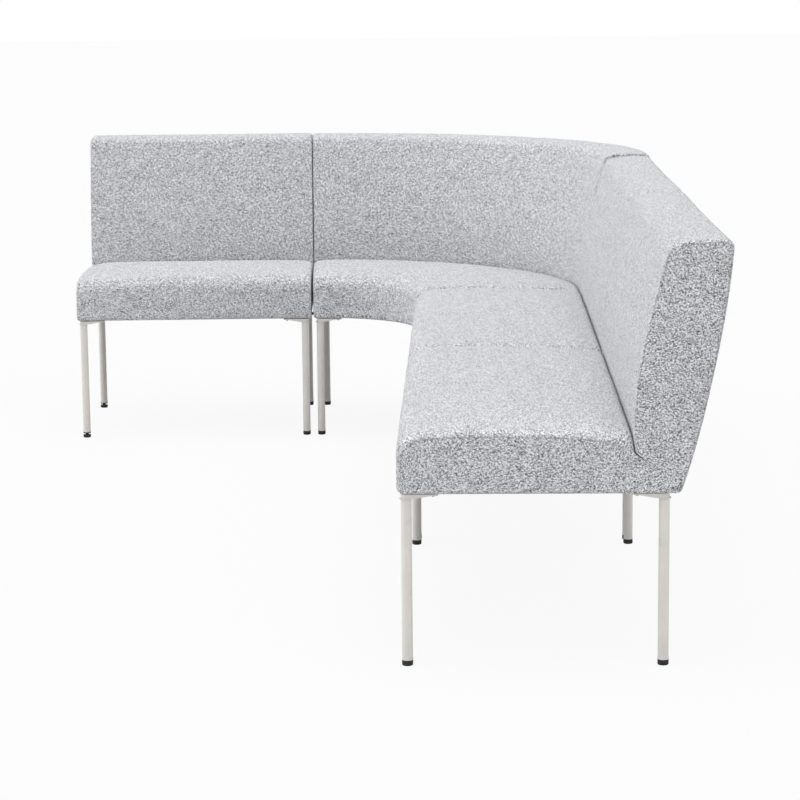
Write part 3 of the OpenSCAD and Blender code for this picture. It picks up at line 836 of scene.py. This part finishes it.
class BanquetteUpholstery(bpy.types.PropertyGroup):
    seat_crown: metres(
        "Seat crown", "Height of a seat's top above the line between its edges", 0.0075, 0.015
    )
    belly: metres("Belly", "Fall of a seat's top at a free end", 0.006, 0.012)
    corner_roll: metres(
        "Front corner roll", "Fall of a seat's front top corner at a free end", 0.010, 0.020
    )
    belly_reach: metres(
        "Belly reach", "How far from a free end the front of a seat begins to fall",
        0.26, 0.30, low=0.05,
    )
    back_swell: metres("Back swell", "Swell of the front of a back", 0.0105, 0.015)
    seam_depth: metres("Seam depth", "Depth of the sewn seam across a long seat", 0.003, 0.006)
    crease: metres("End seam crease", "Depth of the crease at the end panels' seam", 0.0007, 0.003)
    panel_bulge: metres(
        "End panel bulge", "How far an end panel stands proud in its middle", 0.0006, 0.0025
    )
    rear_roll: metres("Rear corner roll", "Fall of a seat's rear top corner at its ends", 0.024, 0.040)
    top_roll: metres(
        "Top roll", "Fall of a back's top at an end that meets another bench", 0.008, 0.015
    )
    ripple: metres("Back ripple", "Height of the soft upright waves along a back", 0.0009, 0.002)
    cloth_limit: metres(
        "Cloth limit", "Furthest that a point moves in the cloth simulation", 0.004, 0.008
    )
    cloth_share: fraction(
        "Cloth share", "Share of the simulated swell that the foam lets the cover keep", 0.14
    )
    cloth_pressure: amount("Foam pressure", "Pressure of the foam in the cloth simulation", 4.0, 20.0)
    cloth_step: metres(
        "Cloth step", "Spacing of the grid in the cloth simulation", 0.018, 0.03, low=0.01
    )
    grid_step: metres("Grid step", "Widest spacing of a cover's grid", 0.008, 0.03, low=0.004)
    seed: IntProperty(name="Seed", description="Seed of the soft unevenness", default=7)


class BanquetteCloth(bpy.types.PropertyGroup):
    ground_yarn: rgb("Ground yarn", "Colour of the mid grey yarn", (0.53, 0.536, 0.568))
    dark_yarn: rgb("Dark yarn", "Colour of the dark yarn", (0.035, 0.035, 0.04))
    pale_yarn: rgb("Pale yarn", "Colour of the pale yarn", (0.955, 0.963, 0.985))
    fleck_size: metres("Fleck size", "Height of a fleck", 0.00115, 0.01, low=0.0005)
    fleck_aspect: amount("Fleck length", "Length of a fleck over its height", 1.3, 4.0, low=1.0)
    weave_pitch: metres("Weave pitch", "Spacing of the yarns", 0.0019, 0.01, low=0.0005)
    stitch_pitch: metres("Stitch pitch", "Spacing of the seam's stitches", 0.006, 0.02, low=0.002)
    # The seam shade and the stitch and crease shade colour darken a seam: dark stitches, and a painted
    # shade in its crease.
    seam_shade: fraction("Seam shade", "Strength of the dark line in a seam", 0.45)
    stitch_and_crease_shade_colour: rgb("Seam colour", "Colour in the depth of a seam", (0.10, 0.10, 0.11))


class BanquetteFinishes(bpy.types.PropertyGroup):
    foam: rgb("Foam", "Colour of the foam", (0.84, 0.74, 0.46))
    timber: rgb("Timber", "Pale grain of the plywood", (0.62, 0.43, 0.23))
    timber_dark: rgb("Timber, dark", "Dark grain of the plywood", (0.42, 0.26, 0.12))
    dust_cloth: rgb("Dust cloth", "Colour of the cloth under the boards", (0.012, 0.012, 0.014))
    enamel: rgb("Enamel", "Colour of the legs", (0.82, 0.795, 0.755))
    nylon: rgb("Nylon", "Colour of the glides", (0.012, 0.012, 0.013))
    zinc: rgb("Zinc", "Colour of the screws", (0.46, 0.47, 0.49))
    powder_coat: rgb("Powder coat", "Colour of the link plates", (0.02, 0.02, 0.021))


class BanquetteStage(bpy.types.PropertyGroup):
    sky: amount("Sky", "Strength of the even light from all round", 0.43, 2.0)
    top_light: amount("Top light", "Strength of the broad light from above", 1.42, 10.0)
    left_light: amount("Left light", "Strength of the broad light from the left", 1.25, 10.0)
    right_light: amount(
        "Right light", "Strength of the broad light from the right and front", 0.66, 10.0
    )
    light_width: amount(
        "Light width", "Angle that each broad light fills", math.radians(55), math.pi, subtype="ANGLE"
    )
    floor: amount("Floor", "Brightness of the floor's colour", 0.62, 1.0)
    floor_white: fraction("Floor white", "Share of plain white that the camera sees in the floor", 0.92)
    lens: amount("Lens", "Focal length in millimetres", 111.37, 400.0, low=20.0)


# Pieces


def topness(z):
    """One on the upper part of a seat, zero below, a smooth step between."""
    return smooth((z - UNDER - TOP_FROM) / TOP_RISE)


def seat_rings(bench, look, path, x, step):
    """Rings of a seat cover at the positions x. The top swells by the crown, less by
    exp(-distance / 50 mm) at the ends and at a sewn seam. The rear top corners roll
    down towards the ends, evenly from 80 mm above the board's underside to 115 mm and
    in full above, and a free end rolls over in a long slope: belly times
    (1 - distance / reach)², with a reach that shortens towards the back, and its
    front corner by corner_roll times the square of two such shares."""
    number = BENCHES.index(bench)
    t = np.minimum(x, path.length - x)
    double = bench in LONG_BENCHES
    apart = np.abs(x - path.length / 2) if double else np.full(len(x), 1.0)
    full = 1 - CROWN_AT_END * np.exp(-t / CROWN_FADE) - CROWN_AT_SEAM * np.exp(-apart / CROWN_FADE)
    uneven = waves(x, look.seed + number, 0.9, 0.12)
    swell = np.outer(look.seat_crown * full + UNEVEN * uneven, SEAT_EDGES[:, SWELL])
    groove = 0.5 * np.exp(-((apart / GROOVE_NARROW) ** 2)) + 0.5 * np.exp(-apart / GROOVE_WIDE)
    inset = np.outer(look.seam_depth * groove if double else 0 * x, SEAT_EDGES[:, SEAM])
    rings, edge_of = section(SEAT_CORNERS, SEAT_EDGES, t, inset, swell, step)
    u, z = rings[..., 0], rings[..., 1]
    rear = np.clip((u - ROLL_FROM) / ROLL_WIDTH, 0, 1.05) ** ROLL_POWER
    rear = rear * np.clip((z - UNDER - REAR_FROM) / REAR_RISE, 0, 1)
    fall = look.rear_roll * rear * draw_in(t, ROLL_REACH)[:, None]
    reach = look.belly_reach * (1 - SLOPE_TAPER * u / SEAT_DEPTH)
    for free, away in zip(FREE_ENDS[bench], (x, path.length - x)):
        share = np.clip(1 - away[:, None] / reach, 0, 1)
        fall = fall + free * look.belly * share**2 * topness(z) * (1 - SLOPE_SPARED * rear)
        near_end = np.clip(1 - away[:, None] / CORNER_ALONG, 0, 1)
        near_front = np.clip(1 - u / CORNER_DEEP, 0, 1)
        fall = fall + look.corner_roll * (free > 0) * (near_end * near_front) ** 2 * topness(z)
    rings[..., 1] = z - fall
    return rings, edge_of


def back_rings(bench, look, path, x, step):
    """Rings of a back cover at the positions x. Front and rear swell, less by
    exp(-distance / 45 mm) at the ends, with soft upright waves on the front and lower
    ones on the top. The top rolls down at its ends by a quarter ellipse, in full 10 mm
    under BACK_Z and above, not at all 70 mm under it."""
    number = BENCHES.index(bench)
    corners = BACK_CORNERS.copy()
    corners[[BACK_TOP, BACK_FRONT], 1] = BACK_Z + np.array(BACK_TOPS[bench])
    t = np.minimum(x, path.length - x)
    full = 1 - SWELL_AT_END * np.exp(-t / SWELL_FADE)
    swell = np.outer(look.back_swell * full, BACK_EDGES[:, SWELL])
    calm = look.ripple * smooth(t / RIPPLE_FADE)
    swell[:, BACK_FRONT] += calm * waves(x, look.seed + 20 + number, 0.32, 0.13)
    swell[:, BACK_TOP] += 0.5 * calm * waves(x, look.seed + 40 + number, 0.6, 0.15)
    rings, edge_of = section(corners, BACK_EDGES, t, np.zeros_like(swell), swell, step)
    high = smooth((rings[..., 1] - BACK_Z + TOP_ROLL_UNDER) / TOP_ROLL_RISE)
    for rolled, away in zip(ROLLED_TOPS[bench], (x, path.length - x)):
        rings[..., 1] -= rolled * look.top_roll * draw_in(away, TOP_ROLL_REACH)[:, None] * high
    return rings, edge_of


class Cover:
    """What sets a seat cover and a back cover apart: rings, the middle line of an end
    panel, the edges that are hidden, flat from above, and sewn to the end panels."""

    def __init__(self, part, make_rings, middle, hidden, level, sewn):
        self.part, self.make_rings, self.middle = part, make_rings, middle
        self.hidden, self.level, self.sewn = hidden, level, sewn


SEAT_COVER = Cover("seat", seat_rings, SEAT_MIDDLE, (0, 1, 2, 3), (0, SEAT_TOP), (SEAT_TOP, SEAT_FRONT))
BACK_COVER = Cover(
    "back", back_rings, BACK_MIDDLE, (0, 4, 5, 6), (0, BACK_TOP), (BACK_REAR, BACK_TOP, BACK_FRONT)
)


def near_columns(at, around, chosen, width):
    """One on the chosen columns, falling by exp(-(distance / width)²) beside them."""
    apart = (at[:, None] - at[chosen] + around / 2) % around - around / 2
    return np.exp(-((np.abs(apart).min(1) / width) ** 2))


def swelling(cover, bench, look, path, x, at, around):
    """The settled move of a cover at the positions x and round lengths at, simulated
    on an even grid. The ends, the hidden edges and the sewn seam across a long seat are
    held, a seat's front edge partly."""
    coarse_x = np.linspace(0, path.length, 2 * round(path.length / 2 / look.cloth_step) + 1)
    rings, edge_of = cover.make_rings(bench, look, path, coarse_x, look.cloth_step)
    coarse_at, coarse_around = round_lengths(rings)
    hidden = np.isin(edge_of, cover.hidden)
    hold = near_columns(coarse_at, coarse_around, hidden, HOLD_FADE) * np.ones((len(coarse_x), 1))
    hold[[0, -1]] = 1.0
    if cover is SEAT_COVER:
        hold = np.maximum(hold, FRONT_HOLD * (edge_of == SEAT_FRONT))
    if cover is SEAT_COVER and bench in LONG_BENCHES:
        hold[len(coarse_x) // 2] = 1.0
    move = settled(path, coarse_x, rings, hold, look.cloth_share, look.cloth_limit, look.cloth_pressure)
    move = move * (1 - hold)[..., None]
    by_row = evened(coarse_x, x, CARRY_WIDTH * look.cloth_step)
    by_column = evened(coarse_at / coarse_around * around, at, CARRY_WIDTH * look.cloth_step, around)
    calm = smooth(np.minimum(x, path.length - x) / CALM_END)[:, None, None]
    return np.einsum("ir,rck,jc->ijk", by_row, move, by_column, optimize=True) * calm


def dress(cover, slot, material):
    """Makes one cover for each bench, settled as cloth, in its CAD node's place."""
    look = bpy.context.scene.banquette_upholstery
    for bench in BENCHES:
        path = path_of(bench, CORNER_LEAN)
        double = cover is SEAT_COVER and bench in LONG_BENCHES
        x = stations(path, double, look.grid_step)
        rings, edge_of = cover.make_rings(bench, look, path, x, look.grid_step)
        at, around = round_lengths(rings)
        sewn = near_columns(at, around, np.isin(edge_of, cover.sewn), SEWN_FADE)
        seams = [(0, sewn), (len(x) - 1, sewn)]
        if double:
            seams.append((len(x) // 2, sewn))
        move = None
        if look.cloth_limit > 0:
            move = swelling(cover, bench, look, path, x, at, around)
        level = np.isin(edge_of, cover.level) & path.curved
        obj = closed_skin(
            f"{bench}_{cover.part}_upholstery", path, x, rings, cover.middle, material,
            look.panel_bulge, level, seams, look.crease, move,
        )
        finished(obj, slot, f"{bench}_{cover.part}_cover")


def foam_core(bench, part, material):
    """A foam core: the cover's section moved inwards, sharper, and flat at its ends."""
    path = path_of(bench, CORNER_LEAN)
    corners, inset, middle = {
        "seat": (SEAT_CORNERS, SEAT_FOAM_INSET, SEAT_MIDDLE),
        "back": (BACK_CORNERS, BACK_FOAM_INSET, BACK_MIDDLE),
    }[part]
    core = corners.copy()
    core[:, 2] = np.maximum(corners[:, 2] - FOAM_SHARPER, 0.0)
    x = stations(path, False, FOAM_ALONG)
    x = FOAM_END + (path.length - 2 * FOAM_END) * x / path.length
    still = np.tile(STILL_EDGE, (len(corners), 1))
    inset = np.broadcast_to(inset, (len(x), len(corners)))
    rings, _ = section(core, still, np.full(len(x), 1.0), inset, np.zeros_like(inset), FOAM_ROUND)
    obj = closed_skin(
        f"{bench}_{part}_foam_core", path, x, rings, middle, material, 0.0,
        np.zeros(rings.shape[1], bool), [], 0.0,
    )
    finished(obj, "foam", f"{bench}_{part}_foam")


def dust_cloth(bench, material):
    """Black cloth stretched under a board: a grid of positions and depths that puckers
    by a cosine between its fixings, fading over 15 mm from the edges."""
    path = path_of(bench)
    x = np.linspace(DUST_MARGIN, path.length - DUST_MARGIN, int(path.length / DUST_STEP))
    u = np.linspace(DUST_FRONT, DUST_REAR, DUST_LINES)
    along, depth = np.meshgrid(x, u, indexing="ij")
    ends = np.minimum(along - x[0], x[-1] - along)
    sides = np.minimum(depth - u[0], u[-1] - depth)
    pucker = np.cos(2 * math.pi * along / PUCKER_LENGTH) * np.exp(-sides / PUCKER_FADE)
    pucker = pucker + np.cos(2 * math.pi * depth / PUCKER_LENGTH) * np.exp(-ends / PUCKER_FADE)
    z = UNDER - DUST_DROP + PUCKER_HEIGHT * pucker
    world = world_points(path, along, depth, z).reshape(-1, 3)
    quads = grid_quads(*along.shape, False)[0]
    obj = new_object(f"{bench}_dust_cloth", world, quads.tolist(), material)
    cloth_map(obj.data, world[quads.ravel(), :2])
    wall = obj.modifiers.new("thickness", "SOLIDIFY")
    wall.thickness, wall.offset = DUST_THICKNESS, 0.0
    finished(obj, "dust_cloth", f"{bench}_dust_cover")
    if path.curved:
        ends = CORNER_STRAIGHT - x[0]


# Operators


class BANQUETTE_OT_seats(bpy.types.Operator):
    """Make the four seat covers, crowned, seamed and settled as cloth"""

    bl_idname = "banquette.seats"
    bl_label = "Seat covers"

    def execute(self, context):
        material = woven_cloth(context.scene.banquette_cloth)
        dress(SEAT_COVER, "cover_fabric", material)
        return {"FINISHED"}


class BANQUETTE_OT_backs(bpy.types.Operator):
    """Make the four back covers"""

    bl_idname = "banquette.backs"
    bl_label = "Back covers"

    def execute(self, context):
        material = bpy.data.materials.get("mottled_cloth") or woven_cloth(context.scene.banquette_cloth)
        dress(BACK_COVER, "cover_fabric", material)
        return {"FINISHED"}


class BANQUETTE_OT_foam(bpy.types.Operator):
    """Make the foam cores inside the covers"""

    bl_idname = "banquette.foam"
    bl_label = "Foam cores"

    def execute(self, context):
        material = foam_material(context.scene.banquette_finishes)
        for bench in BENCHES:
            for part in ("seat", "back"):
                foam_core(bench, part, material)
        return {"FINISHED"}


class BANQUETTE_OT_dust_cloths(bpy.types.Operator):
    """Make the black cloths stretched under the seat boards"""

    bl_idname = "banquette.dust_cloths"
    bl_label = "Dust cloths"

    def execute(self, context):
        material = dust_cloth_material(context.scene.banquette_finishes)
        for bench in BENCHES:
            dust_cloth(bench, material)
        return {"FINISHED"}


class BANQUETTE_OT_boards(bpy.types.Operator):
    """Finish the seat boards and back frames as birch plywood"""

    bl_idname = "banquette.boards"
    bl_label = "Boards and back frames"

    def execute(self, context):
        material = plywood_material(context.scene.banquette_finishes)
        repaint([f"{b}_{part}" for b in BENCHES for part in ("seat_board", "back_frame")], material)
        return {"FINISHED"}


class BANQUETTE_OT_legs(bpy.types.Operator):
    """Finish the legs in enamel and the leg and link screws in plated zinc"""

    bl_idname = "banquette.legs"
    bl_label = "Legs, inserts and screws"

    def execute(self, context):
        look = context.scene.banquette_finishes
        repaint([f"{b}_legs" for b in BENCHES], enamel_material(look))
        repaint([f"{b}_leg_screws" for b in BENCHES] + ["link_screws"], zinc_material(look))
        return {"FINISHED"}


class BANQUETTE_OT_glides(bpy.types.Operator):
    """Finish the glides and the leg inserts in black nylon"""

    bl_idname = "banquette.glides"
    bl_label = "Glides"

    def execute(self, context):
        glides = sorted(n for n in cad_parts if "_glide_" in n)
        if not glides:
            raise RuntimeError("the frame has no glides")
        inserts = [f"{b}_leg_inserts" for b in BENCHES]
        repaint(glides + inserts, nylon_material(context.scene.banquette_finishes))
        return {"FINISHED"}


class BANQUETTE_OT_plates(bpy.types.Operator):
    """Finish the link plates between the benches"""

    bl_idname = "banquette.plates"
    bl_label = "Link plates"

    def execute(self, context):
        repaint(["link_plates"], plate_material(context.scene.banquette_finishes))
        return {"FINISHED"}


WHITE = (1.0, 1.0, 1.0)
FLOOR_HALF = 40.0
LAMP_DISTANCE = 6.0


def floor_material(look):
    """Pale floor. The camera sees it mixed with plain white, so only the shadow tells."""
    n = Nodes("floor")
    grain = n.noise(object_coordinates(n), 40.0, 2.0)
    shade = n.grade(grain, look.floor - 0.005, look.floor + 0.005)
    plain = n.add("ShaderNodeBsdfDiffuse", Color=shade)
    white = n.add("ShaderNodeEmission", Color=tone(WHITE), Strength=1.0)
    seen = n.product(n.add("ShaderNodeLightPath").outputs["Is Camera Ray"], look.floor_white)
    mixed = n.add("ShaderNodeMixShader", i0=seen, i1=plain.outputs[0], i2=white.outputs[0])
    n.add("ShaderNodeOutputMaterial", Surface=mixed.outputs[0])
    return n.owner


def paint_world(look):
    """Even light of the sky's strength, and plain white where the camera, a gloss or
    a clear surface looks straight at it."""
    n = Nodes("studio", "worlds")
    rays = n.add("ShaderNodeLightPath").outputs
    seen = n.math("ADD", rays["Is Camera Ray"], rays["Is Glossy Ray"])
    seen = n.math("ADD", seen, rays["Is Transmission Ray"], clamp=True)
    even = n.add("ShaderNodeBackground", Color=tone(WHITE), Strength=look.sky)
    white = n.add("ShaderNodeBackground", Color=tone(WHITE), Strength=1.0)
    mixed = n.add("ShaderNodeMixShader", i0=seen, i1=even.outputs[0], i2=white.outputs[0])
    n.add("ShaderNodeOutputWorld", Surface=mixed.outputs[0])
    bpy.context.scene.world = n.owner


# The camera of the view: place, turn to the left, downward tilt and roll
CAMERA_AT = (0.1565, -5.9318, 1.2882)
CAMERA_YAW, CAMERA_PITCH, CAMERA_ROLL = (math.radians(a) for a in (0.29, 9.93, 0.57))

# Direction towards each broad light, by the setting that holds its strength
LIGHTS = {
    "top_light": (0.0, 0.0, 1.0),
    "left_light": (-0.912, 0.0, 0.410),
    "right_light": (0.605, -0.605, 0.518),
}


def camera_turn():
    """Columns: right, up and backward of a camera turned by yaw, then pitch, then roll."""
    sy, cy = math.sin(CAMERA_YAW), math.cos(CAMERA_YAW)
    sp, cp = math.sin(CAMERA_PITCH), math.cos(CAMERA_PITCH)
    forward = np.array([-sy * cp, cy * cp, -sp])
    right = np.array([cy, sy, 0.0])
    down = np.cross(forward, right)
    sr, cr = math.sin(CAMERA_ROLL), math.cos(CAMERA_ROLL)
    return np.stack([cr * right + sr * down, sr * right - cr * down, -forward], 1)


class BANQUETTE_OT_stage(bpy.types.Operator):
    """Set the floor, the light and the camera"""

    bl_idname = "banquette.stage"
    bl_label = "Stage"

    def execute(self, context):
        scene, look = context.scene, context.scene.banquette_stage
        points = FLOOR_HALF * np.array([(-1, -1, 0), (1, -1, 0), (1, 1, 0), (-1, 1, 0)])
        new_object("floor", points, [(0, 1, 2, 3)], floor_material(look))
        paint_world(look)
        for name, side in LIGHTS.items():
            light = bpy.data.lights.new(name, "SUN")
            light.energy, light.angle = getattr(look, name), look.light_width
            lamp = bpy.data.objects.new(name, light)
            lamp.rotation_euler = Vector(side).to_track_quat("Z", "Y").to_euler()
            lamp.location = Vector(side) * LAMP_DISTANCE
            scene.collection.objects.link(lamp)
        data = bpy.data.cameras.new("camera")
        data.lens, data.sensor_width, data.clip_end = look.lens, 36.0, 200.0
        camera = bpy.data.objects.new("camera", data)
        turn = Matrix(camera_turn().tolist()).to_4x4()
        camera.matrix_world = Matrix.Translation(CAMERA_AT) @ turn
        scene.collection.objects.link(camera)
        scene.camera = camera
        scene.view_settings.view_transform = "Standard"
        return {"FINISHED"}


STEPS = (
    BANQUETTE_OT_seats, BANQUETTE_OT_backs, BANQUETTE_OT_foam, BANQUETTE_OT_dust_cloths,
    BANQUETTE_OT_boards, BANQUETTE_OT_legs, BANQUETTE_OT_glides, BANQUETTE_OT_plates,
    BANQUETTE_OT_stage,
)


class BANQUETTE_PT_panel(bpy.types.Panel):
    """Sizes, colours and steps of the banquette"""

    bl_idname = "BANQUETTE_PT_panel"
    bl_label = "Banquette"
    bl_space_type = "VIEW_3D"
    bl_region_type = "UI"
    bl_category = "Banquette"

    def draw(self, context):
        for step in STEPS:
            self.layout.operator(step.bl_idname)
        for group in GROUPS:
            box = self.layout.box()
            settings = getattr(context.scene, group)
            for name in settings.__annotations__:
                box.prop(settings, name)


GROUPS = {
    "banquette_upholstery": BanquetteUpholstery,
    "banquette_cloth": BanquetteCloth,
    "banquette_finishes": BanquetteFinishes,
    "banquette_stage": BanquetteStage,
}
CLASSES = (*GROUPS.values(), *STEPS, BANQUETTE_PT_panel)


def register():
    for cls in CLASSES:
        bpy.utils.register_class(cls)
    for name, cls in GROUPS.items():
        setattr(bpy.types.Scene, name, PointerProperty(type=cls))


def unregister():
    for name in GROUPS:
        delattr(bpy.types.Scene, name)
    for cls in reversed(CLASSES):
        bpy.utils.unregister_class(cls)


def main():
    register()
    bpy.ops.banquette.seats()
    bpy.ops.banquette.backs()
    bpy.ops.banquette.foam()
    bpy.ops.banquette.dust_cloths()
    bpy.ops.banquette.boards()
    bpy.ops.banquette.legs()
    bpy.ops.banquette.glides()
    bpy.ops.banquette.plates()
    bpy.ops.banquette.stage()


if __name__ == "__main__":
    main()
